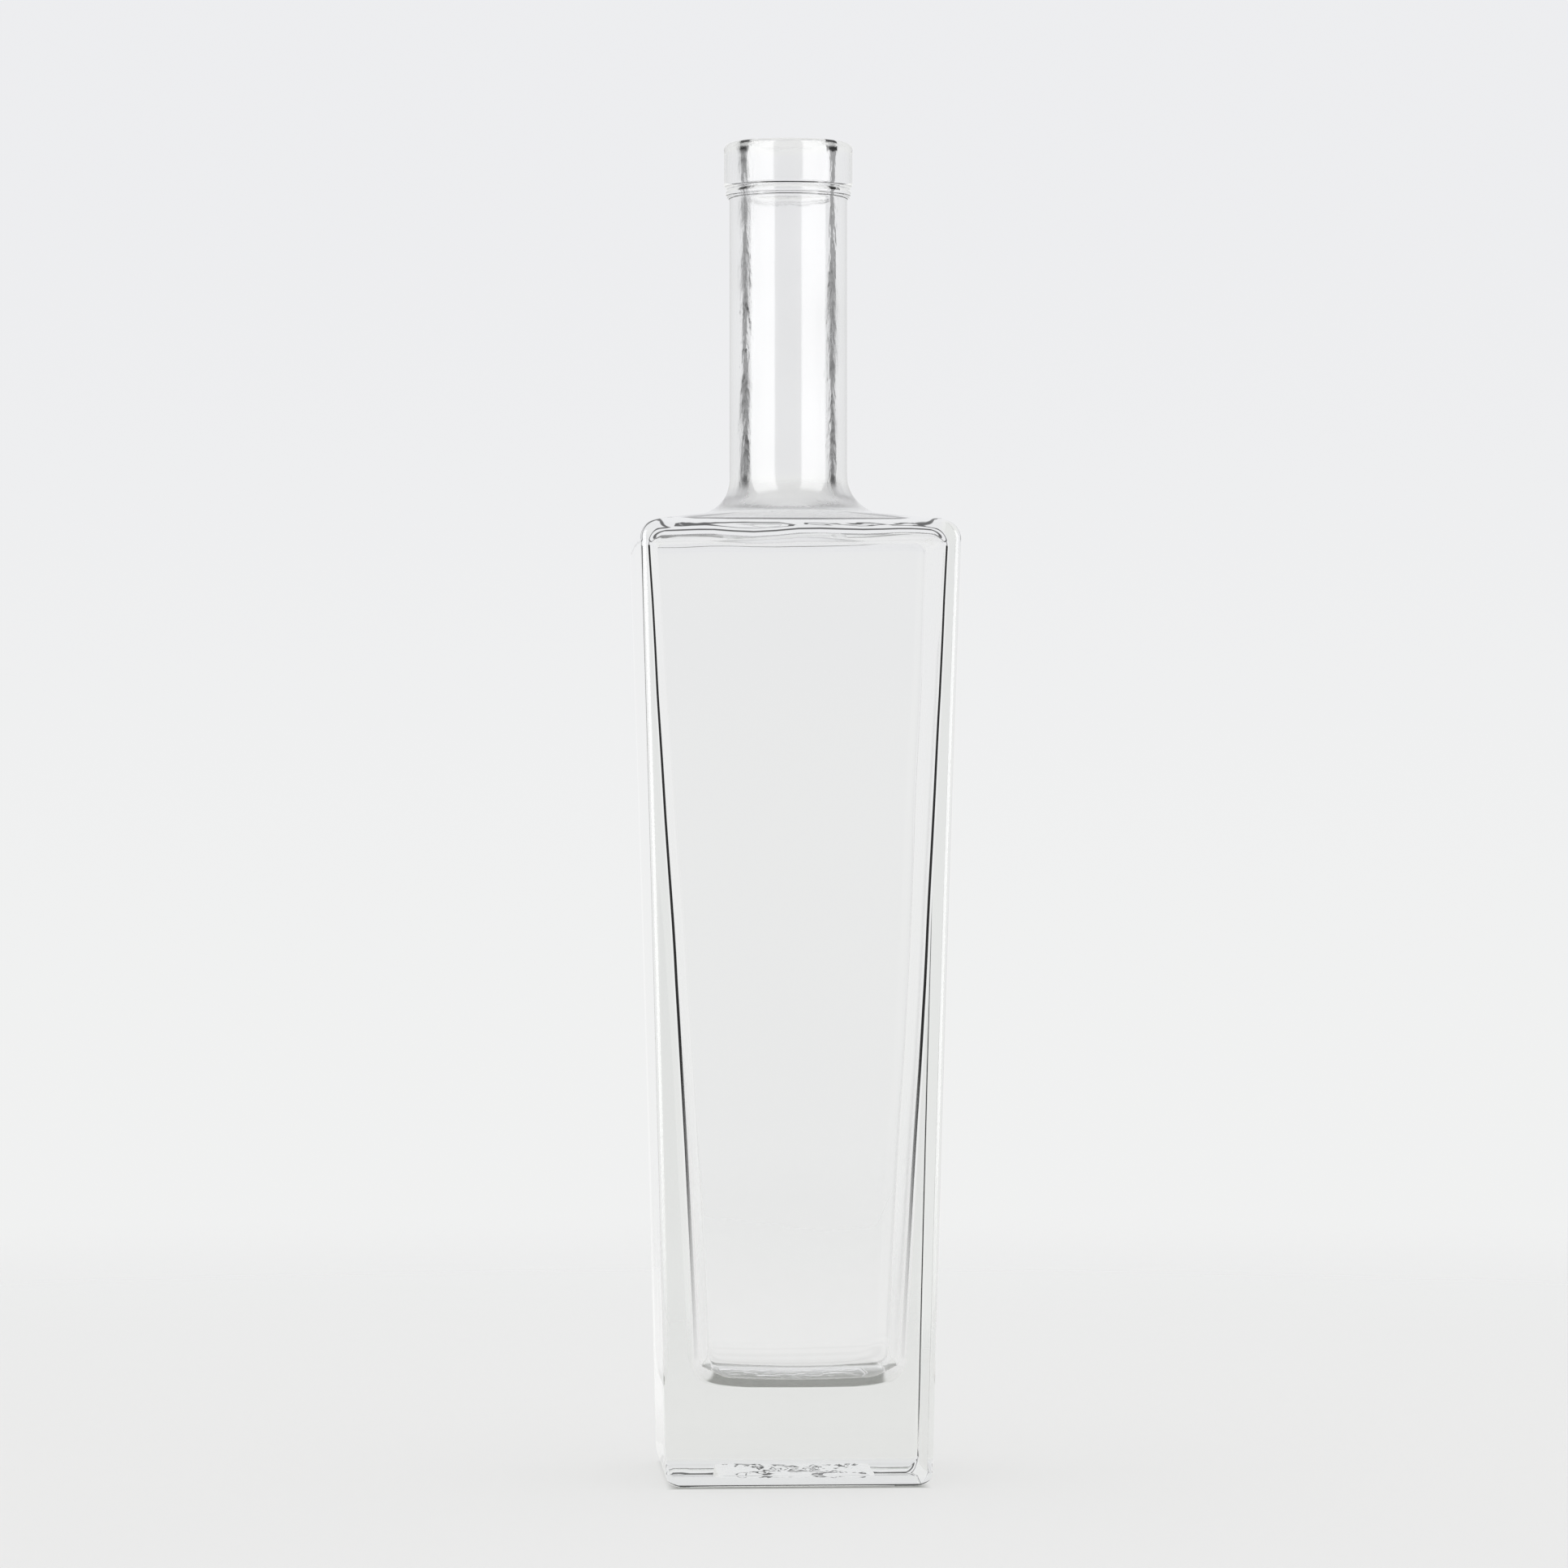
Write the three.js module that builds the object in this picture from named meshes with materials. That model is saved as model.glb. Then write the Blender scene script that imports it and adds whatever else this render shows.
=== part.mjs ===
import * as THREE from "three";
import { ParametricGeometry } from "three/addons/geometries/ParametricGeometry.js";

// A square spirit bottle of clear flint glass, blown in one piece, in millimetres. It stands on
// z = 0 with its axis on +Z and its front face towards -Y.

// Overall sizes
const bottleHeight = 315;
const footWidth = 61.9; // across the flats where the body meets the table
const shoulderWidth = 74.2; // across the flats at the widest point
const shoulderHeight = 224.9; // where the rounded shoulder edge turns into the slope
const sideHollow = 0.3; // how far the tapered sides bow in at mid height

// Edges of the body
const bodyEdgeRadius = 1.6; // the four upright edges
const heelRadius = 3.4;
const shoulderRadius = 5.1;
const shoulderRise = 2.2; // from the shoulder edge up to the root of the neck

// Neck and its finish
const neckDiameter = 28;
const neckRootRadius = 9;
const boreDiameter = 19.2;
const ringDiameter = 30.6;
const ringHeight = 10.6;
const ringEdgeRadius = 1; // the lower edge of the ring
const lipRadius = 1.3;
const boreLipRadius = 2;
const grooveDiameter = 29.4;
const grooveHeight = 0.3;
const beadDiameter = 29.8;
const beadHeight = 1.9;

// Push-up under the base
const recessWidth = 36.7;
const recessDepth = 2.6;
const recessDraft = 0.3;
const recessEdgeRadius = 1.2; // the four upright edges of the recess

// Thickness of the glass
const baseThickness = 22.7;
const footWall = 6.75; // at the floor of the cavity
const middleWall = 4.6;
const shoulderWall = 1.5;
const roofThickness = 3.1;

// Edges of the cavity
const cavityEdgeRadius = 4.8; // the four upright edges inside, at the floor
const cavityTopEdgeRadius = 2.6; // the same edges under the roof
const floorRadius = 5.4;
const roofRadius = 3.2;
const flareRadius = 8; // where the bore opens into the cavity
const floorRoundness = 0.55; // how round the outline is where the floor starts, 0 square, 1 round
const floorDish = 0.5; // how far the middle of the floor lies below its edge

// How finely the surface is divided
const edgeSteps = 5; // round each upright edge
const flatSteps = 5; // across each flat
const quarters = 4;
const quarterSteps = edgeSteps + flatSteps;
const aroundSteps = quarters * quarterSteps;
const wallSteps = 6;
const cornerSteps = 5;
const filletSteps = 5;
const slopeSteps = 5;
const smallArcSteps = 4;

const square = 0;
const circle = 1;
const quarterTurn = Math.PI / 2;

const footHalf = footWidth / 2;
const shoulderHalf = shoulderWidth / 2;
const neckRadius = neckDiameter / 2;
const boreRadius = boreDiameter / 2;
const ringRadius = ringDiameter / 2;
const widestHeight = shoulderHeight - shoulderRadius;
const slopeRun = shoulderHalf - shoulderRadius - neckRadius - neckRootRadius;
const slopeAngle = Math.atan2(shoulderRise, slopeRun);

// A place on the profile: half the width there, its height, the radius of the upright edges and
// how round the outline is.
function station(half, height, edge, roundness) {
  return { half, height, edge, roundness };
}

// Stations along a curve whose x is half the width and whose y is the height
function alongCurve(curve, steps, edges, roundness) {
  return curve.getPoints(steps).map((point, i) => {
    const t = i / steps;
    return station(
      point.x,
      point.y,
      THREE.MathUtils.lerp(edges[0], edges[1], t),
      THREE.MathUtils.lerp(roundness[0], roundness[1], t),
    );
  });
}

function arc(x, y, radius, from, to) {
  return new THREE.EllipseCurve(x, y, radius, radius, from, to, to < from);
}

function line(x0, y0, x1, y1) {
  return new THREE.LineCurve(new THREE.Vector2(x0, y0), new THREE.Vector2(x1, y1));
}

function outerHalfAt(height) {
  const t = height / widestHeight;
  return THREE.MathUtils.lerp(footHalf, shoulderHalf, t) - sideHollow * 4 * t * (1 - t);
}

// The wall thins from the floor to the shoulder on a parabola through its three stated sizes.
function wallAt(height) {
  const t = (height - baseThickness) / (widestHeight - baseThickness);
  const foot = footWall * 2 * (t - 0.5) * (t - 1);
  const middle = middleWall * 4 * t * (1 - t);
  const shoulder = shoulderWall * 2 * t * (t - 0.5);
  return foot + middle + shoulder;
}

function cavityHalfAt(height) {
  return outerHalfAt(height) - wallAt(height);
}

// The push-up: a shallow square pocket that leaves a flat rim to stand on
function recessAndRim() {
  const ceilingHalf = recessWidth / 2;
  const mouthHalf = ceilingHalf + recessDraft;
  return [
    station(0, recessDepth, 0, square),
    station(ceilingHalf, recessDepth, recessEdgeRadius, square),
    station(mouthHalf, 0, recessEdgeRadius, square),
    station(footHalf - heelRadius, 0, bodyEdgeRadius, square),
  ];
}

function heel() {
  const curve = arc(outerHalfAt(heelRadius) - heelRadius, heelRadius, heelRadius, -quarterTurn, 0);
  return alongCurve(curve, cornerSteps, [bodyEdgeRadius, bodyEdgeRadius], [square, square]);
}

function taperedSides() {
  const rise = widestHeight - heelRadius;
  return Array.from({ length: wallSteps }, (_, i) => {
    const height = heelRadius + (rise * (i + 1)) / wallSteps;
    return station(outerHalfAt(height), height, bodyEdgeRadius, square);
  });
}

function shoulderEdge() {
  const centre = shoulderHalf - shoulderRadius;
  const curve = arc(centre, widestHeight, shoulderRadius, 0, quarterTurn - slopeAngle);
  return alongCurve(curve, cornerSteps, [bodyEdgeRadius, bodyEdgeRadius], [square, square]);
}

// The shallow slope on which the square outline turns into the round neck
function shoulderSlope() {
  const edge = shoulderEdge().at(-1);
  const root = neckRoot()[0];
  const curve = line(edge.half, edge.height, root.half, root.height);
  return alongCurve(curve, slopeSteps, [bodyEdgeRadius, bodyEdgeRadius], [square, circle]);
}

function neckRoot() {
  const x = neckRadius + neckRootRadius;
  const y = shoulderHeight + shoulderRise + neckRootRadius;
  const curve = arc(x, y, neckRootRadius, -quarterTurn - slopeAngle, -2 * quarterTurn);
  return alongCurve(curve, filletSteps, [bodyEdgeRadius, bodyEdgeRadius], [circle, circle]);
}

// The finish from the neck up: a thin bead, a groove and the main ring with its rounded lip
function finish() {
  const ringBottom = bottleHeight - ringHeight;
  const beadTop = ringBottom - grooveHeight;
  const beadHalf = beadHeight / 2;
  const beadX = beadDiameter / 2 - beadHalf;
  const edges = [bodyEdgeRadius, bodyEdgeRadius];
  const round = [circle, circle];
  const bead = arc(beadX, beadTop - beadHalf, beadHalf, -quarterTurn, quarterTurn);
  const ringEdge = arc(
    ringRadius - ringEdgeRadius,
    ringBottom + ringEdgeRadius,
    ringEdgeRadius,
    -quarterTurn,
    0,
  );
  const lip = arc(ringRadius - lipRadius, bottleHeight - lipRadius, lipRadius, 0, quarterTurn);
  return [
    station(neckRadius, beadTop - beadHeight - beadHalf, bodyEdgeRadius, circle),
    ...alongCurve(bead, filletSteps, edges, round),
    station(grooveDiameter / 2, beadTop, bodyEdgeRadius, circle),
    station(grooveDiameter / 2, ringBottom, bodyEdgeRadius, circle),
    ...alongCurve(ringEdge, smallArcSteps, edges, round),
    ...alongCurve(lip, smallArcSteps, edges, round),
  ];
}

// The flat top of the lip, the bore and the flare into the cavity
function boreAndFlare() {
  const edges = [cavityTopEdgeRadius, cavityTopEdgeRadius];
  const round = [circle, circle];
  const lip = arc(
    boreRadius + boreLipRadius,
    bottleHeight - boreLipRadius,
    boreLipRadius,
    quarterTurn,
    2 * quarterTurn,
  );
  const flareX = boreRadius + flareRadius;
  const flareY = roofEdgeHeight() + slopeRise(flareX) + flareRadius;
  const flare = arc(flareX, flareY, flareRadius, 2 * quarterTurn, 3 * quarterTurn - slopeAngle);
  return [
    ...alongCurve(lip, smallArcSteps, edges, round),
    ...alongCurve(flare, filletSteps, edges, round),
  ];
}

function roofEdgeHeight() {
  return shoulderHeight - roofThickness;
}

// How far the roof rises from its outer edge to a place at this half width
function slopeRise(half) {
  const edgeHalf = cavityHalfAt(roofEdgeHeight() - roofRadius) - roofRadius;
  return (edgeHalf - half) * Math.tan(slopeAngle);
}

function cavityRoof() {
  const flareEnd = boreAndFlare().at(-1);
  const corner = roofCorner()[0];
  const curve = line(flareEnd.half, flareEnd.height, corner.half, corner.height);
  const edges = [cavityTopEdgeRadius, cavityTopEdgeRadius];
  return alongCurve(curve, slopeSteps, edges, [circle, square]);
}

function roofCorner() {
  const y = roofEdgeHeight() - roofRadius;
  const curve = arc(cavityHalfAt(y) - roofRadius, y, roofRadius, quarterTurn - slopeAngle, 0);
  const edges = [cavityTopEdgeRadius, cavityTopEdgeRadius];
  return alongCurve(curve, cornerSteps, edges, [square, square]);
}

function cavityWalls() {
  const top = roofEdgeHeight() - roofRadius;
  const bottom = baseThickness + floorRadius;
  return Array.from({ length: wallSteps }, (_, i) => {
    const down = (i + 1) / wallSteps;
    const height = THREE.MathUtils.lerp(top, bottom, down);
    const edge = THREE.MathUtils.lerp(cavityTopEdgeRadius, cavityEdgeRadius, down);
    return station(cavityHalfAt(height), height, edge, square);
  });
}

// The floor curves up to the walls, higher in the corners than along the flats.
function cavityFloor() {
  const y = baseThickness + floorRadius;
  const curve = arc(cavityHalfAt(y) - floorRadius, y, floorRadius, 0, -quarterTurn);
  const rounding = alongCurve(
    curve,
    cornerSteps,
    [cavityEdgeRadius, cavityEdgeRadius],
    [square, floorRoundness],
  );
  return [...rounding, station(0, baseThickness - floorDish, cavityEdgeRadius, circle)];
}

function isNew(place, i, all) {
  const before = all[i - 1];
  return !before || Math.hypot(place.half - before.half, place.height - before.height) > 1e-3;
}

const profile = [
  ...recessAndRim(),
  ...heel(),
  ...taperedSides(),
  ...shoulderEdge(),
  ...shoulderSlope(),
  ...neckRoot(),
  ...finish(),
  ...boreAndFlare(),
  ...cavityRoof(),
  ...roofCorner(),
  ...cavityWalls(),
  ...cavityFloor(),
].filter(isNew);

// A point of the first quarter of a square outline with rounded edges: the edge, then the flat
function squareOutline(half, edge, step) {
  const radius = Math.min(edge, half);
  const straight = half - radius;
  if (step <= edgeSteps) {
    const angle = (quarterTurn * step) / edgeSteps;
    return [straight + radius * Math.cos(angle), straight + radius * Math.sin(angle)];
  }
  return [straight - (2 * straight * (step - edgeSteps)) / flatSteps, half];
}

// The same point of a round outline: edge and flat each take half of the quarter.
function roundOutline(half, step) {
  const share = quarterTurn / 2;
  const onEdge = Math.min(step, edgeSteps) / edgeSteps;
  const onFlat = Math.max(step - edgeSteps, 0) / flatSteps;
  const angle = share / 2 + share * (onEdge + onFlat);
  return [half * Math.cos(angle), half * Math.sin(angle)];
}

function surfacePoint(around, along, target) {
  const place = profile[Math.round(along * (profile.length - 1))];
  const step = Math.round(around * aroundSteps) % aroundSteps;
  const quarter = Math.floor(step / quarterSteps);
  const [sx, sy] = squareOutline(place.half, place.edge, step % quarterSteps);
  const [cx, cy] = roundOutline(place.half, step % quarterSteps);
  const x = THREE.MathUtils.lerp(sx, cx, place.roundness);
  const y = THREE.MathUtils.lerp(sy, cy, place.roundness);
  const turn = quarter * quarterTurn;
  target.set(
    x * Math.cos(turn) - y * Math.sin(turn),
    x * Math.sin(turn) + y * Math.cos(turn),
    place.height,
  );
}

const clearGlass = new THREE.MeshStandardMaterial({
  color: 0xe3e6e2,
  roughness: 0.04,
  metalness: 0,
  transparent: true,
  opacity: 0.35,
});

const bottle = new THREE.Mesh(
  new ParametricGeometry(surfacePoint, aroundSteps, profile.length - 1),
  clearGlass,
);
bottle.name = "bottle";

const liquorBottle = new THREE.Group();
liquorBottle.name = "liquor_bottle";
liquorBottle.add(bottle);

export default liquorBottle;
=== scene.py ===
import math

import bpy
import numpy as np
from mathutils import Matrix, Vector, noise


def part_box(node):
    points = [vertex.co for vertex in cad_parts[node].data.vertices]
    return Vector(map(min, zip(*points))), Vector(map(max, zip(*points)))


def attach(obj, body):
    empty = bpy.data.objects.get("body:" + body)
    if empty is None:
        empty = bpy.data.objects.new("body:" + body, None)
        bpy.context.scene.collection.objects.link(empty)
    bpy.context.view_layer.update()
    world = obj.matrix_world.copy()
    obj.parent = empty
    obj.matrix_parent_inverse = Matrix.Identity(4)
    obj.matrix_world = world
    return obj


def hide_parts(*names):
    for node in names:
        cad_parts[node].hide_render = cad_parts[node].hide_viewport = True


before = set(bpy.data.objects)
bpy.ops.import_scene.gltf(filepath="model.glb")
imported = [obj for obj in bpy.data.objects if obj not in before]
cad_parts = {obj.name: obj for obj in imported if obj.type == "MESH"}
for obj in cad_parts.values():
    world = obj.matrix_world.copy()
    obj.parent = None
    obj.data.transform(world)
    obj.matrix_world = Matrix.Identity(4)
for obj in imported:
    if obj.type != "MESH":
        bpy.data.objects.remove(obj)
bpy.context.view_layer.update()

print("frame loaded")

mm = 0.001
square, circle = 0.0, 1.0
squareOnly, roundOnly = (square, square), (circle, circle)
quarterTurn = math.pi / 2


# One socket of a node tree, so that shader maths reads as plain arithmetic
class Field:
    def __init__(self, tree, socket):
        self.tree = tree
        self.socket = socket

    def maths(self, operation, *values):
        return addNode(self.tree, "ShaderNodeMath", {"operation": operation}, values)

    def __add__(self, other):
        return self.maths("ADD", self, other)

    __radd__ = __add__

    def __sub__(self, other):
        return self.maths("SUBTRACT", self, other)

    def __rsub__(self, other):
        return self.maths("SUBTRACT", other, self)

    def __mul__(self, other):
        return self.maths("MULTIPLY", self, other)

    __rmul__ = __mul__

    def atMost(self, other):
        return self.maths("MINIMUM", self, other)

    def atLeast(self, other):
        return self.maths("MAXIMUM", self, other)

    # 0 below low and 1 above high, with a smooth step between them
    def rise(self, low, high):
        settings = {"interpolation_type": "SMOOTHSTEP"}
        return addNode(self.tree, "ShaderNodeMapRange", settings, [self, low, high, 0.0, 1.0])

    # 1 between low and high, with soft ends
    def band(self, low, high, soft):
        return self.rise(low - soft, low + soft) * (1 - self.rise(high - soft, high + soft))


def addNode(tree, kind, settings=None, inputs=None, output=0):
    node = tree.nodes.new(kind)
    for name, value in (settings or {}).items():
        setattr(node, name, value)
    pairs = inputs.items() if isinstance(inputs, dict) else enumerate(inputs or [])
    for key, value in pairs:
        if isinstance(value, Field):
            tree.links.new(value.socket, node.inputs[key])
        else:
            node.inputs[key].default_value = value
    return Field(tree, node.outputs[output]) if node.outputs else node


# The mix node's colour sockets come after its plain and vector ones
def mixColours(tree, share, first, second):
    return addNode(tree, "ShaderNodeMix", {"data_type": "RGBA"}, {0: share, 6: first, 7: second}, 2)


def splitPlace(tree, place, count):
    return [addNode(tree, "ShaderNodeSeparateXYZ", {}, [place], i) for i in range(count)]


def emptyTree(owner):
    owner.use_nodes = True
    owner.node_tree.nodes.clear()
    return owner.node_tree


def grey(level):
    return (level, level, level, 1)


# The camera: level, far away, a little to the left of the front face
cameraSetup = {
    "lens": 135,  # mm
    "sensor": 36,  # mm
    "distance": 1.3937,
    "azimuth": -3.5,  # degrees from the front face
    "height": 0.1564,
    "aimHeight": 0.1633,
    "aimAside": -0.0018,  # to the right of the bottle's axis, as the camera sees it
}


def addCamera(setup):
    turn = math.radians(setup["azimuth"])
    back = Vector((math.sin(turn), -math.cos(turn), 0))
    right = Vector((math.cos(turn), math.sin(turn), 0))
    data = bpy.data.cameras.new("camera")
    data.lens = setup["lens"]
    data.sensor_width = setup["sensor"]
    camera = bpy.data.objects.new("camera", data)
    camera.location = back * setup["distance"] + Vector((0, 0, setup["height"]))
    aim = right * setup["aimAside"] + Vector((0, 0, setup["aimHeight"]))
    camera.rotation_mode = "QUATERNION"
    camera.rotation_quaternion = (aim - camera.location).to_track_quat("-Z", "Y")
    bpy.context.scene.collection.objects.link(camera)
    bpy.context.scene.camera = camera
    return -back


forward = addCamera(cameraSetup)
print("camera placed")


# The glass, in millimetres. Half widths are measured across the flats.
bottleShape = {
    "footHalf": 30.95,
    "shoulderHalf": 37.1,
    "shoulderHeight": 224.9,
    "sideHollow": 0.3,  # how far the sides sink in half way up
    "bodyEdge": 1.6,  # radius of the four upright edges
    "heelRadius": 3.4,
    "shoulderRadius": 5.1,
    "shoulderRise": 2.2,
    "neckRadius": 14.0,
    "neckRoot": 9.0,
    "boreRadius": 9.6,
    "ringRadius": 15.3,
    "ringHeight": 10.6,
    "ringEdge": 1.0,
    "lipRadius": 1.3,
    "boreLip": 2.0,
    "grooveRadius": 14.7,
    "grooveHeight": 0.3,
    "beadRadius": 14.9,
    "beadHeight": 1.9,
    "beadUnder": 0.7,  # how far the bead curls under, in quarter turns
    "beadFillet": 0.9,
    "filletEnd": 1.25,  # in quarter turns
    "recessHalf": 18.35,
    "recessDepth": 2.6,
    "recessDraft": 0.3,
    "recessEdge": 1.2,
    "recessTop": 0.5,  # radius round its ceiling
    "recessRim": 0.4,  # radius where it meets the foot
    "baseThickness": 22.7,
    "footWall": 6.75,
    "middleWall": 4.6,
    "shoulderWall": 1.5,
    "roofThickness": 3.1,
    "cavityEdge": 4.8,  # radius of its upright edges at the floor
    "cavityTopEdge": 2.6,
    "floorRadius": 5.4,
    "roofRadius": 3.2,
    "flareRadius": 8.0,
    "floorRoundness": 0.55,
    "floorDish": 0.5,
    "pole": 0.05,  # half width of the tiny face that closes each end of the surface
    "nearest": 1e-4,  # rings closer than this are one
    "edgeSteps": 14,
    "flatSteps": 16,
}

# Steps along the profile, from the middle of the recess round to the middle of the cavity's floor
profileSteps = {
    "ceiling": 44, "recess": 5, "draft": 4, "rim": 4, "foot": 16, "heel": 12, "sides": 40, "shoulder": 14,
    "slope": 18, "root": 14, "neck": 16, "fillet": 6, "bead": 10, "groove": 2, "ringEdge": 7, "ring": 8,
    "lip": 9, "mouth": 5, "boreLip": 8, "bore": 30, "flare": 14, "roof": 20, "roofEdge": 12, "walls": 40,
    "floorEdge": 14, "floor": 14,
}


# Turns 0..1 into 0..1 with the steps closer together at both ends
def easeEnds(t):
    return 0.35 * t + 0.65 * (0.5 - 0.5 * math.cos(math.pi * t))


def evenSteps(t):
    return t


def blendBetween(first, second, share):
    return first + (second - first) * share


# A station of the profile: half width, height, radius of the upright edges, roundness of the outline
def arcStations(x, z, radius, start, end, steps, edge, roundness):
    stations = []
    for i in range(steps + 1):
        angle = blendBetween(start, end, i / steps)
        share = blendBetween(roundness[0], roundness[1], i / steps)
        stations.append((x + radius * math.cos(angle), z + radius * math.sin(angle), edge, share))
    return stations


def lineStations(start, end, steps, edge, roundness, shape=easeEnds):
    stations = []
    for i in range(steps + 1):
        t = shape(i / steps)
        x, z = blendBetween(start[0], end[0], t), blendBetween(start[1], end[1], t)
        stations.append((x, z, edge, blendBetween(roundness[0], roundness[1], t)))
    return stations


def bottleProfile(b, steps, height):
    widest = b["shoulderHeight"] - b["shoulderRadius"]
    edge, inner, innerTop = b["bodyEdge"], b["cavityEdge"], b["cavityTopEdge"]
    run = b["shoulderHalf"] - b["shoulderRadius"] - b["neckRadius"] - b["neckRoot"]
    slope = math.atan2(b["shoulderRise"], run)

    def outerHalf(z):
        t = z / widest
        return blendBetween(b["footHalf"], b["shoulderHalf"], t) - b["sideHollow"] * 4 * t * (1 - t)

    # The curve through the three wall thicknesses
    def wall(z):
        t = (z - b["baseThickness"]) / (widest - b["baseThickness"])
        foot = b["footWall"] * 2 * (t - 0.5) * (t - 1)
        return foot + b["middleWall"] * 4 * t * (1 - t) + b["shoulderWall"] * 2 * t * (t - 0.5)

    def cavityHalf(z):
        return outerHalf(z) - wall(z)

    # Recess
    recessEdge, topRadius, rimRadius = b["recessEdge"], b["recessTop"], b["recessRim"]
    topX, topZ = b["recessHalf"] - topRadius, b["recessDepth"] - topRadius
    rimX = b["recessHalf"] + b["recessDraft"]
    pole, ceiling = (b["pole"], b["recessDepth"]), (topX, b["recessDepth"])
    stations = lineStations(pole, ceiling, steps["ceiling"], recessEdge, squareOnly, evenSteps)
    stations += arcStations(topX, topZ, topRadius, quarterTurn, 0, steps["recess"], recessEdge, squareOnly)
    stations += lineStations((b["recessHalf"], topZ), (rimX, rimRadius),
                             steps["draft"], recessEdge, squareOnly)
    stations += arcStations(rimX + rimRadius, rimRadius, rimRadius, 2 * quarterTurn, 3 * quarterTurn,
                            steps["rim"], recessEdge, squareOnly)

    # Foot and tapered sides
    heel = b["heelRadius"]
    heelX = outerHalf(heel) - heel
    stations += lineStations((rimX + rimRadius, 0), (heelX, 0), steps["foot"], edge, squareOnly)
    stations += arcStations(heelX, heel, heel, -quarterTurn, 0, steps["heel"], edge, squareOnly)
    for i in range(1, steps["sides"] + 1):
        z = blendBetween(heel, widest, easeEnds(i / steps["sides"]))
        stations.append((outerHalf(z), z, edge, square))

    # Shoulder and root of the neck
    shoulderX = b["shoulderHalf"] - b["shoulderRadius"]
    stations += arcStations(shoulderX, widest, b["shoulderRadius"], 0, quarterTurn - slope,
                            steps["shoulder"], edge, squareOnly)
    rootX = b["neckRadius"] + b["neckRoot"]
    rootZ = b["shoulderHeight"] + b["shoulderRise"] + b["neckRoot"]
    root = arcStations(rootX, rootZ, b["neckRoot"], -quarterTurn - slope, -2 * quarterTurn,
                       steps["root"], edge, roundOnly)
    stations += lineStations(stations[-1][:2], root[0][:2], steps["slope"], edge, (square, circle))
    stations += root

    # Neck and bead
    ringBottom = height - b["ringHeight"]
    beadTop = ringBottom - b["grooveHeight"]
    beadHalf = b["beadHeight"] / 2
    neckX, fillet = b["neckRadius"], b["beadFillet"]
    neckTop = beadTop - b["beadHeight"] - fillet
    stations += lineStations((neckX, rootZ), (neckX, neckTop), steps["neck"], edge, roundOnly)
    stations += arcStations(neckX + fillet, neckTop, fillet, 2 * quarterTurn, quarterTurn * b["filletEnd"],
                            steps["fillet"], edge, roundOnly)
    stations += arcStations(b["beadRadius"] - beadHalf, beadTop - beadHalf, beadHalf,
                            -quarterTurn * b["beadUnder"], quarterTurn, steps["bead"], edge, roundOnly)

    # Groove, ring and lip
    grooveX, ringX, ringEdge, lip = b["grooveRadius"], b["ringRadius"], b["ringEdge"], b["lipRadius"]
    edgeZ, ringTop, lipX = ringBottom + ringEdge, height - lip, ringX - lip
    stations += lineStations((grooveX, beadTop), (grooveX, ringBottom), steps["groove"], edge, roundOnly)
    stations += arcStations(ringX - ringEdge, edgeZ, ringEdge, -quarterTurn, 0,
                            steps["ringEdge"], edge, roundOnly)
    stations += lineStations((ringX, edgeZ), (ringX, ringTop), steps["ring"], edge, roundOnly)
    stations += arcStations(lipX, ringTop, lip, 0, quarterTurn, steps["lip"], edge, roundOnly)

    # Mouth and bore
    bore, boreLip = b["boreRadius"], b["boreLip"]
    lipZ = height - boreLip
    stations += lineStations((lipX, height), (bore + boreLip, height), steps["mouth"], edge, roundOnly)
    stations += arcStations(bore + boreLip, lipZ, boreLip, quarterTurn, 2 * quarterTurn,
                            steps["boreLip"], innerTop, roundOnly)
    roofEdge = b["shoulderHeight"] - b["roofThickness"]
    roofZ = roofEdge - b["roofRadius"]
    roofX = cavityHalf(roofZ) - b["roofRadius"]
    flareX = bore + b["flareRadius"]
    flareZ = roofEdge + (roofX - flareX) * math.tan(slope) + b["flareRadius"]
    stations += lineStations((bore, lipZ), (bore, flareZ), steps["bore"], innerTop, roundOnly)

    # Flare and roof of the cavity
    flare = arcStations(flareX, flareZ, b["flareRadius"], 2 * quarterTurn, 3 * quarterTurn - slope,
                        steps["flare"], innerTop, roundOnly)
    corner = arcStations(roofX, roofZ, b["roofRadius"], quarterTurn - slope, 0,
                         steps["roofEdge"], innerTop, squareOnly)
    roof = lineStations(flare[-1][:2], corner[0][:2], steps["roof"], innerTop, (circle, square))
    stations += flare + roof + corner

    # Walls and floor of the cavity
    floorZ = b["baseThickness"] + b["floorRadius"]
    for i in range(1, steps["walls"] + 1):
        t = easeEnds(i / steps["walls"])
        z = blendBetween(roofZ, floorZ, t)
        stations.append((cavityHalf(z), z, blendBetween(innerTop, inner, t), square))
    floorX = cavityHalf(floorZ) - b["floorRadius"]
    stations += arcStations(floorX, floorZ, b["floorRadius"], 0, -quarterTurn,
                            steps["floorEdge"], inner, (square, b["floorRoundness"]))
    for i in range(1, steps["floor"] + 1):
        t = easeEnds(i / steps["floor"])
        dish = b["floorDish"] * (1 - (1 - t) ** 2)
        share = blendBetween(b["floorRoundness"], circle, t)
        stations.append((blendBetween(floorX, b["pole"], t), b["baseThickness"] - dish, inner, share))

    kept = [stations[0]]
    for station in stations[1:]:
        if math.hypot(station[0] - kept[-1][0], station[1] - kept[-1][1]) > b["nearest"]:
            kept.append(station)
    return kept


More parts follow.
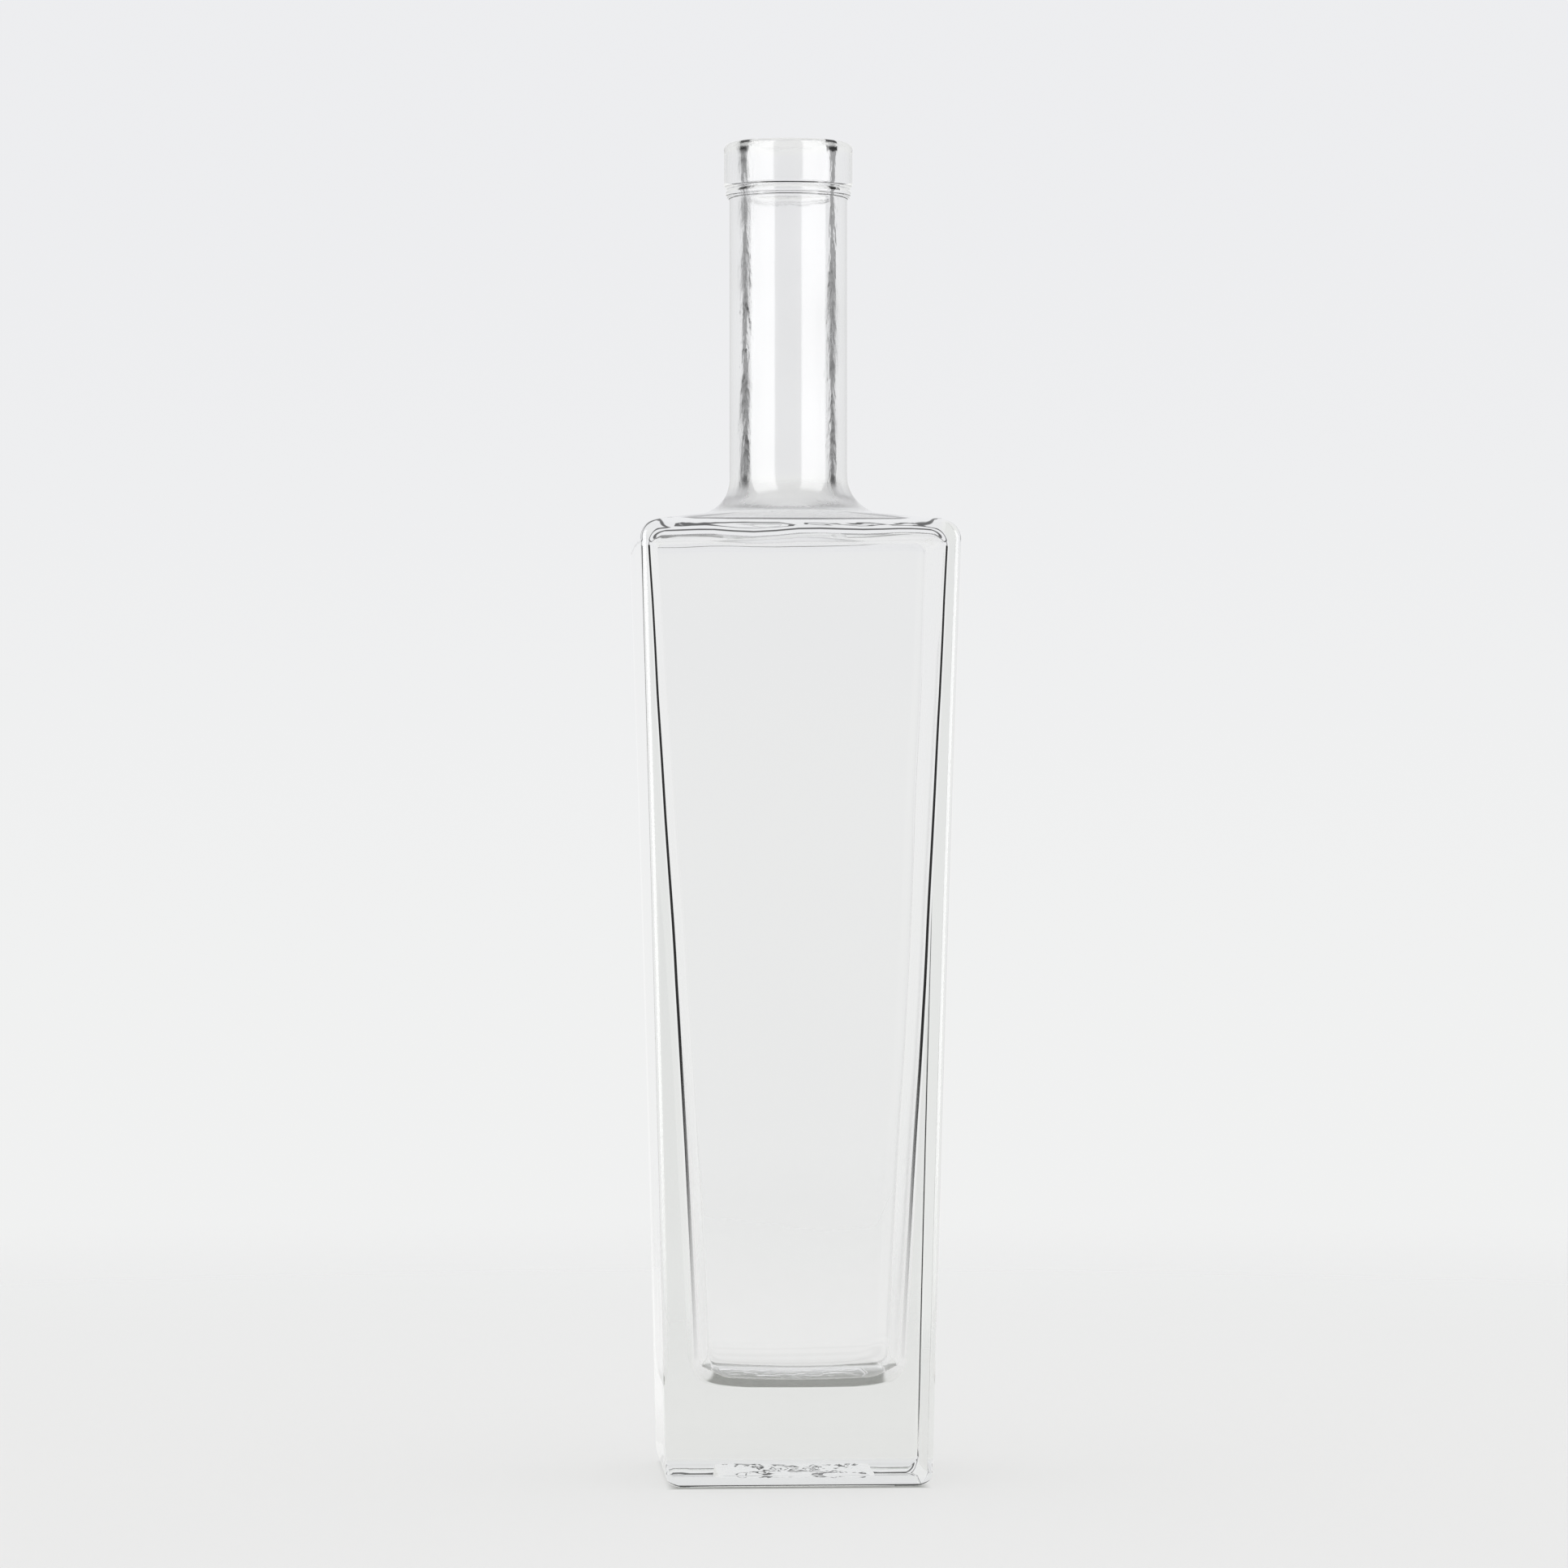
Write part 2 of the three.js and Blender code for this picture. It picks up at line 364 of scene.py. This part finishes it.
# The points of one outline, between a square with rounded edges and a circle
def outline(half, edge, roundness, b):
    radius = min(edge, half)
    straight = half - radius
    points = []
    for step in range(b["edgeSteps"]):
        t = step / b["edgeSteps"]
        angle = quarterTurn * t
        turned = quarterTurn * (0.25 + 0.5 * t)
        points.append((straight + radius * math.cos(angle), straight + radius * math.sin(angle), turned))
    for step in range(b["flatSteps"]):
        t = easeEnds(step / b["flatSteps"])
        turned = quarterTurn * (0.75 + 0.5 * t)
        points.append((straight - 2 * straight * t, half, turned))
    ring = []
    for quarter in range(4):
        turn = quarter * quarterTurn
        for x, y, turned in points:
            x = blendBetween(x, half * math.cos(turned), roundness)
            y = blendBetween(y, half * math.sin(turned), roundness)
            ring.append((x * math.cos(turn) - y * math.sin(turn), x * math.sin(turn) + y * math.cos(turn)))
    return ring


def smoothStep(low, high, value):
    t = min(max((value - low) / (high - low), 0), 1)
    return t * t * (3 - 2 * t)


# Blown glass is never quite even: the neck leans a little, and bore, roof and walls wander
unevenGlass = {
    "lean": -0.8,
    "leanFrom": 222,
    "leanTo": 238,
    "bore": 0.22,
    "boreScale": (0.16, 0.03),  # across and along
    "streaks": 0.3,  # share of the finer upright streaks
    "streakScale": (4, 0.12),
    "mouthFade": (308, 313),
    "wall": 0.22,
    "wallScale": 0.035,
    "roof": 1.1,
    "roofScale": 0.055,
    "roofFrom": 205,
    "roofTo": 219,
    "usualHalf": 32,
    "floorCentre": 0.5,  # has no outward direction
    "lipRows": 2,  # rows past the highest that still move with the outside
    # Heights with how far the cavity sits to the right, and how much wider it is
    "drift": ((25, 0.4), (100, 0.5), (125, 0.4), (157, -0.1), (195, -0.3), (222, -0.5)),
    "wider": ((25, 0.0), (90, 0.3), (118, 0.5), (157, 0.3), (185, 0.1), (205, -0.35), (222, -0.5)),
}


# The marks that the mould leaves under the base and on the heel
footMarks = {
    "below": 2.9,
    "pits": 0.5,
    "pitScale": 0.4,
    "finePits": 0.5,
    "pitHeights": (2.2, 2.55),
    "pitReach": (15.5, 17.6),
    "stipple": 0.06,
    "stippleScale": 0.8,
    "stippleTop": 0.02,
    "stippleFrom": (19.3, 20.3),
    "stippleTo": (25.5, 27),
    "heel": 0.25,
    "heelScale": 0.45,
    "heelTop": 3.5,
    "heelFrom": 20,
    "heelRise": (0, 0.8),
    "heelFall": (3.5, 2),
}


# The plain numbers added to or beside a place only pick another patch of the noise
def moveFoot(x, y, z, m):
    radius = math.hypot(x, y)
    if z < m["below"]:
        reach = max(abs(x), abs(y))
        pits = noise.noise(Vector((x, y, 4)) * m["pitScale"])
        pits += m["finePits"] * noise.noise(Vector((x, y, 7)) * 2 * m["pitScale"])
        under = smoothStep(*m["pitHeights"], z) * (1 - smoothStep(*m["pitReach"], reach))
        rim = (1 - smoothStep(0, m["stippleTop"], z)) * smoothStep(*m["stippleFrom"], reach)
        rim *= 1 - smoothStep(*m["stippleTo"], reach)
        bumps = abs(noise.noise(Vector((x, y, 1)) * m["stippleScale"]))
        return x, y, z + m["pits"] * pits * under + m["stipple"] * bumps * rim
    if radius <= m["heelFrom"]:
        return x, y, z
    lump = noise.noise(Vector((x, y, z)) * m["heelScale"])
    lump = abs(lump * smoothStep(*m["heelRise"], z) * smoothStep(*m["heelFall"], z))
    return x - x / radius * lump * m["heel"], y - y / radius * lump * m["heel"], z


def moveBore(x, y, z, lean, u):
    radius = math.hypot(x, y)
    nx, ny = x / radius, y / radius
    across, along = u["boreScale"]
    around, upwards = u["streakScale"]
    rim = 1 - smoothStep(*u["mouthFade"], z)
    streak = noise.noise(Vector((nx * around, ny * around + 9, z * upwards)))
    shift = u["bore"] * rim * noise.noise(Vector((x * across, y * across, z * along)))
    shift += u["streaks"] * u["bore"] * rim * streak
    share = smoothStep(u["leanTo"], u["leanFrom"], z)
    return x + nx * shift + lean + share * u["drift"][-1][1], y + ny * shift, z


def moveCavity(x, y, z, u):
    radius = math.hypot(x, y)
    nx, ny = x / radius, y / radius
    scale = u["wallScale"]
    shift = u["wall"] * noise.noise(Vector((x * scale + 3, y * scale, z * scale)))
    drift, wider = [float(np.interp(z, *zip(*u[name]))) for name in ("drift", "wider")]
    grow = 1 + wider / u["usualHalf"]
    x, y = x * grow, y * grow
    rise = u["roof"] * smoothStep(u["roofFrom"], u["roofTo"], z)
    wave = noise.noise(Vector((x * u["roofScale"] + 5, y * u["roofScale"], 2)))
    return x + nx * shift + drift, y + ny * shift, z + rise * wave


def moveUneven(x, y, z, inside, u):
    if not inside and z < footMarks["heelTop"]:
        return moveFoot(x, y, z, footMarks)
    lean = u["lean"] * smoothStep(u["leanFrom"], u["leanTo"], z)
    if not inside or math.hypot(x, y) < u["floorCentre"]:
        return x + lean, y, z
    if z > u["leanFrom"]:
        return moveBore(x, y, z, lean, u)
    return moveCavity(x, y, z, u)


def buildBottle(b):
    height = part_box("bottle")[1].z / mm
    profile = bottleProfile(b, profileSteps, height)
    around = 4 * (b["edgeSteps"] + b["flatSteps"])
    top = max(range(len(profile)), key=lambda i: profile[i][1])
    points = []
    for row, (half, z, edge, roundness) in enumerate(profile):
        inside = row > top + unevenGlass["lipRows"]
        for x, y in outline(half, edge, roundness, b):
            place = moveUneven(x, y, z, inside, unevenGlass)
            points.append(tuple(value * mm for value in place))
    faces = []
    for ring in range(len(profile) - 1):
        low, high = ring * around, (ring + 1) * around
        for i in range(around):
            j = (i + 1) % around
            faces.append((low + i, low + j, high + j, high + i))
    faces.append(tuple(range(around))[::-1])
    last = (len(profile) - 1) * around
    faces.append(tuple(range(last, last + around)))
    mesh = bpy.data.meshes.new("glass_bottle")
    mesh.from_pydata(points, [], faces)
    mesh.shade_smooth()
    mesh.update()
    bottle = bpy.data.objects.new("glass_bottle", mesh)
    bpy.context.scene.collection.objects.link(bottle)
    print("bottle:", len(profile), "rings,", len(faces), "faces")
    return bottle


# Clear flint glass: only the depth of the solid base shows its green cast
glassLook = {
    "ior": 1.52,
    "absorbed": (0.33, 0.39, 0.275, 1),
    "density": 2.0,
    "rippleScale": 700,  # ripples per metre in the bore
    "rippleStretch": (1, 1, 0.3),
    "rippleDepth": 0.0001,
    "boreRough": (0.08, 0.24),  # where the waves are low and high
    "flareRough": 0.25,
    "waveScale": 45,  # the slow waves of fire-polished glass
    "waveDepth": 0.00002,
    "waveRange": (0.3, 0.7),
    "boreReach": 0.0122,  # metres from the axis, between the bore and the outer surface
    "boreFoot": (0.2245, 0.2255),
    "flareTop": 0.230,
    "flareSpread": 1.5,
    "flareFade": (0.231, 0.236),
    "maskSoft": 0.0004,
}


def glassMaterial(look):
    material = bpy.data.materials.new("clear_glass")
    tree = emptyTree(material)

    # The surface of the bore and its flare: all that is nearer to the axis than a line in the wall
    place = addNode(tree, "ShaderNodeTexCoord", {}, {}, "Object")
    x, y, z = splitPlace(tree, place, 3)
    fromAxis = addNode(tree, "ShaderNodeMath", {"operation": "SQRT"}, [x * x + y * y])
    reach = (look["flareTop"] - z).atLeast(0.0) * look["flareSpread"] + look["boreReach"]
    soft = look["maskSoft"]
    inBore = (1 - (fromAxis - reach).rise(-soft, soft)) * z.rise(*look["boreFoot"])
    inFlare = inBore * (1 - z.rise(*look["flareFade"]))

    # Ripples in the bore from the plunger, and slow waves everywhere
    stretch = {"operation": "MULTIPLY"}
    stretched = addNode(tree, "ShaderNodeVectorMath", stretch, [place, look["rippleStretch"]])
    solid = {"noise_dimensions": "3D"}
    fine = {"Vector": stretched, "Scale": look["rippleScale"], "Detail": 2.0}
    slow = {"Vector": place, "Scale": look["waveScale"], "Detail": 1.0}
    ripples = addNode(tree, "ShaderNodeTexNoise", solid, fine)
    waves = addNode(tree, "ShaderNodeTexNoise", solid, slow)
    height = ripples * inBore * look["rippleDepth"] + waves * look["waveDepth"]
    smoothest, roughest = look["boreRough"]
    rough = inBore * (smoothest + (roughest - smoothest) * waves.rise(*look["waveRange"]))
    rough = rough + inFlare * look["flareRough"]
    bump = addNode(tree, "ShaderNodeBump", {}, {"Height": height, "Distance": 1.0, "Strength": 1.0})
    shader = addNode(tree, "ShaderNodeBsdfPrincipled", {}, {
        "Base Color": (1, 1, 1, 1),
        "Roughness": rough,
        "IOR": look["ior"],
        "Transmission Weight": 1.0,
        "Normal": bump,
    })

    # A reflection inside the walls leaves straight on, or it would run round in them until it is lost
    onward = addNode(tree, "ShaderNodeBsdfTransparent")
    reflected = addNode(tree, "ShaderNodeLightPath", {}, {}, "Is Reflection Ray")
    surface = addNode(tree, "ShaderNodeMixShader", {}, [reflected, shader, onward])
    body = {"Color": look["absorbed"], "Density": look["density"]}
    volume = addNode(tree, "ShaderNodeVolumeAbsorption", {}, body)
    addNode(tree, "ShaderNodeOutputMaterial", {}, {"Surface": surface, "Volume": volume})
    return material


bottle = buildBottle(bottleShape)
bottle.data.materials.append(glassMaterial(glassLook))
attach(bottle, "root")
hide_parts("bottle")
print("glass done")


# Floor: a pale disc that fades into the backdrop before its edge, with a painted shadow under the foot
floorSetup = {
    "radius": 1.4,
    "sides": 96,
    "drop": 0.0002,  # keeps the disc just clear of the glass
    "fadeFrom": 0.12,
    "fadeTo": 0.9,
    "colour": (0.825, 0.825, 0.82, 1),
    "under": (0.36, 0.365, 0.35, 1),  # painted shadow: the floor colour under the foot
    "paintedShadowFrom": 0.0275,
    "paintedShadowTo": 0.0312,
}


def addFloor(setup):
    ring = []
    for i in range(setup["sides"]):
        angle = 2 * math.pi * i / setup["sides"]
        ring.append((setup["radius"] * math.cos(angle), setup["radius"] * math.sin(angle), 0))
    mesh = bpy.data.meshes.new("floor")
    mesh.from_pydata(ring, [], [tuple(range(setup["sides"]))])
    floor = bpy.data.objects.new("floor", mesh)
    floor.location.z = -setup["drop"]
    bpy.context.scene.collection.objects.link(floor)
    material = bpy.data.materials.new("floor")
    tree = emptyTree(material)
    place = addNode(tree, "ShaderNodeTexCoord", {}, {}, "Object")
    away = addNode(tree, "ShaderNodeVectorMath", {"operation": "LENGTH"}, [place], "Value")
    fade = away.rise(setup["fadeFrom"], setup["fadeTo"])
    # Painted shadow: the floor colour darkens to the under colour in a rounded square beneath the foot
    x, y = splitPlace(tree, place, 2)
    reach = x.maths("ABSOLUTE", x).atLeast(y.maths("ABSOLUTE", y))
    outsidePaintedShadow = reach.rise(setup["paintedShadowFrom"], setup["paintedShadowTo"])
    colour = mixColours(tree, outsidePaintedShadow, setup["under"], setup["colour"])
    matte = addNode(tree, "ShaderNodeBsdfDiffuse", {}, {"Color": colour})
    clear = addNode(tree, "ShaderNodeBsdfTransparent")
    shown = addNode(tree, "ShaderNodeMixShader", {}, [fade, matte, clear])
    addNode(tree, "ShaderNodeOutputMaterial", {}, {"Surface": shown})
    floor.data.materials.append(material)


addFloor(floorSetup)
print("floor done")


# The studio as the world: levels are linear, angles are degrees from the way the camera looks,
# and heights are the upward part of a direction
studio = {
    "backdropLow": (0.875, 0.88, 0.878, 1),
    "backdropHigh": (0.848, 0.852, 0.868, 1),
    "backdropRise": (-0.05, 0.12),
    "throughGlass": 0.955,
    "darkLevel": 0.01,
    "gapFrom": (55, 63),  # dark edge of the backdrop: beside the body, beside the neck
    "gapTo": (88, 79),
    "gapSoft": 1.5,
    "gapTop": (0.3, 0.5),
    "gapNeck": 0.6,  # how dark the gap stays beside the neck
    "neckRise": (0.030, 0.042),
    "sideFrom": 9,
    "sideTo": 20,
    "sideLevel": 0.5,
    "darkAbove": (0.5, 0.84),  # seen through the glass, up to the lamps overhead
    "lowDark": (0.36, 0.5),  # mirrored inside the glass, as is the next
    "highDark": (0.785, 0.925),
    "darkSoft": 0.03,
    "highSoft": 0.02,
    "highShare": 0.85,
    "softboxFrom": 102,
    "softboxTo": 154,
    "softboxSoft": 3.0,
    "softboxTop": (0.68, 0.85),
    "softboxLevel": 4.5,
    "insideLevel": 1.13,
    "behindSoft": 6,
    "behindLevel": 0.45,
    "floorLight": 1.05,
}


def addStudio(setup):
    world = bpy.data.worlds.new("studio")
    bpy.context.scene.world = world
    tree = emptyTree(world)
    dark = grey(setup["darkLevel"])

    def vector(operation, inputs, output=0):
        return addNode(tree, "ShaderNodeVectorMath", {"operation": operation}, inputs, output)

    def angleFromForward(way):
        facing = vector("DOT_PRODUCT", [way, tuple(forward)], "Value").atMost(1.0).atLeast(-1.0)
        return addNode(tree, "ShaderNodeMath", {"operation": "ARCCOSINE"}, [facing]) * (180 / math.pi)

    def path(name):
        return addNode(tree, "ShaderNodeLightPath", {}, {}, name)

    direction = addNode(tree, "ShaderNodeTexCoord", {}, {}, "Generated")
    level = vector("NORMALIZE", [vector("MULTIPLY", [direction, (1, 1, 0)])])
    angle = angleFromForward(level)
    up = addNode(tree, "ShaderNodeSeparateXYZ", {}, [direction], "Z")
    shade = up.rise(*setup["backdropRise"])
    backdrop = mixColours(tree, shade, setup["backdropLow"], setup["backdropHigh"])

    # What shows through the glass: the backdrop, dark high above it
    above = up.band(*setup["darkAbove"], setup["darkSoft"])
    through = vector("SCALE", {0: backdrop, "Scale": setup["throughGlass"]})
    through = mixColours(tree, above, through, dark)

    # What the outer surface mirrors: softboxes at both sides and the dim room behind the camera
    softbox = angle.band(setup["softboxFrom"], setup["softboxTo"], setup["softboxSoft"])
    softbox = softbox * (1 - up.rise(*setup["softboxTop"]))
    behind = angle.rise(setup["softboxTo"], setup["softboxTo"] + setup["behindSoft"])
    side = angle.rise(setup["sideFrom"], setup["sideTo"])
    outside = mixColours(tree, side, backdrop, grey(setup["sideLevel"]))
    outside = mixColours(tree, behind, outside, grey(setup["behindLevel"]))
    outside = mixColours(tree, softbox, outside, grey(setup["softboxLevel"]))

    # What the inner surfaces mirror: backdrop and softboxes, with dark zones beside and over them
    atNeck = up.rise(*setup["neckRise"])
    edges = [body + (neck - body) * atNeck for body, neck in (setup["gapFrom"], setup["gapTo"])]
    gap = angleFromForward(direction).band(*edges, setup["gapSoft"]) * (1 - up.rise(*setup["gapTop"]))
    gap = gap * (1 - (1 - setup["gapNeck"]) * atNeck)
    over = up.band(*setup["lowDark"], setup["darkSoft"]) + up.band(*setup["highDark"], setup["highSoft"])
    inside = mixColours(tree, softbox, backdrop, grey(setup["insideLevel"]))
    inside = mixColours(tree, gap.atLeast(over * setup["highShare"]), inside, dark)

    mirrored = mixColours(tree, path("Transmission Depth").atMost(1.0), outside, inside)
    seen = mixColours(tree, path("Glossy Depth").atMost(1.0), through, mirrored)
    seen = mixColours(tree, path("Is Camera Ray"), seen, backdrop)
    seen = mixColours(tree, path("Is Diffuse Ray"), seen, grey(setup["floorLight"]))
    background = addNode(tree, "ShaderNodeBackground", {}, {"Color": seen, "Strength": 1.0})
    addNode(tree, "ShaderNodeOutputWorld", {}, {"Surface": background})


addStudio(studio)
bpy.context.scene.view_settings.view_transform = "Standard"
print("studio done")
